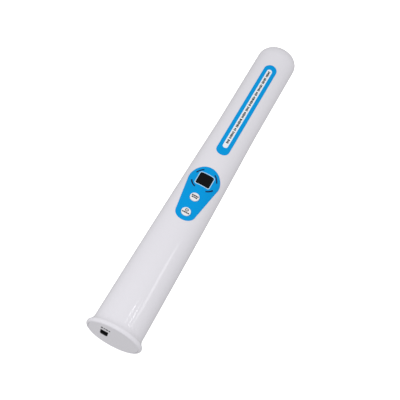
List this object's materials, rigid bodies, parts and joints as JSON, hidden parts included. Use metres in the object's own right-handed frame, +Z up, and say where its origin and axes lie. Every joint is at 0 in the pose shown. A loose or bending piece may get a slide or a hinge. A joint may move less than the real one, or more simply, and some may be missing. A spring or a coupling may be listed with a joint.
{
  "type": "microchip scanner",
  "caption": "Stick-shaped microchip scanner: tapered elliptical white housing with a flared base, a blue keypad panel with display window and push keys, a strip label and a socket in the base.",
  "frame": {"origin": "on the surface the scanner lies on, label face up, half way along and in the middle of its width", "axes": "+Y along the stick from the flared base to the domed tip, +X across to the right of the label face, +Z up out of the label face"},
  "size_m": [0.0652, 0.45, 0.0453],
  "materials": {
    "white_shell": "glossy moulded",
    "blue_film": "satin printed film",
    "dark_lens": "polished, smoked",
    "key_plastic": "satin",
    "seal_rubber": "matte",
    "steel": "plated",
    "contact_brass": "plated",
    "black_plastic": "moulded",
    "tray_plastic": "moulded",
    "connector_plastic": "moulded",
    "board_laminate": "solder mask",
    "display_glass": "polished",
    "flex_film": "polyimide film",
    "ferrite": "sintered",
    "coil_copper": "enamelled winding wire",
    "cell_can": "sleeved cell",
    "red_wire": "insulated wire",
    "black_wire": "insulated wire",
    "grey_wire": "jacketed cable"
  },
  "bodies": {
    "housing": {"antenna_coil": "coil_copper", "antenna_former": "tray_plastic", "antenna_lead_left": "black_wire", "antenna_lead_right": "red_wire", "antenna_plug": "connector_plastic", "antenna_rod": "ferrite", "antenna_saddles": "tray_plastic", "antenna_socket": "connector_plastic", "battery_cell": "cell_can", "battery_lead_black": "black_wire", "battery_lead_red": "red_wire", "battery_plug": "connector_plastic", "battery_socket": "connector_plastic", "battery_strap": "black_plastic", "battery_tabs": "contact_brass", "battery_tape": "seal_rubber", "board_screws": "steel", "buzzer": "black_plastic", "capacitors": "black_plastic", "charge_inductor": "black_plastic", "charging_board": "board_laminate", "charging_board_screws": "steel", "charging_chip": "black_plastic", "clock_crystal": "black_plastic", "display_flex": "flex_film", "display_gasket": "seal_rubber", "display_holder": "black_plastic", "display_module": "display_glass", "display_window": "dark_lens", "end_plate": "white_shell", "end_seal": "seal_rubber", "housing_tube": "white_shell", "inner_tray": "tray_plastic", "keypad_overlay": "blue_film", "label_strip": "blue_film", "lower_switch": "black_plastic", "main_board": "board_laminate", "mcu_chip": "black_plastic", "radio_module": "board_laminate", "radio_shield": "steel", "rfid_chip": "black_plastic", "socket_bezel": "black_plastic", "socket_contacts": "contact_brass", "socket_insulator": "black_plastic", "socket_shell": "steel", "tip_cushion": "seal_rubber", "upper_switch": "black_plastic", "usb_harness": "grey_wire"},
    "upper_button": {"upper_key": "key_plastic", "upper_switch_plunger": "black_plastic"},
    "lower_button": {"lower_key": "key_plastic", "lower_switch_plunger": "black_plastic"}
  },
  "joints": [
    {"name": "upper_button_press", "type": "slide", "parent": "housing", "child": "upper_button", "axis": [0, 0, 1], "range_m": [-0.0005, 0], "stiffness_N_per_m": 600, "springref_m": 0.0005},
    {"name": "lower_button_press", "type": "slide", "parent": "housing", "child": "lower_button", "axis": [0, 0, 1], "range_m": [-0.0005, 0], "stiffness_N_per_m": 600, "springref_m": 0.0005}
  ]
}
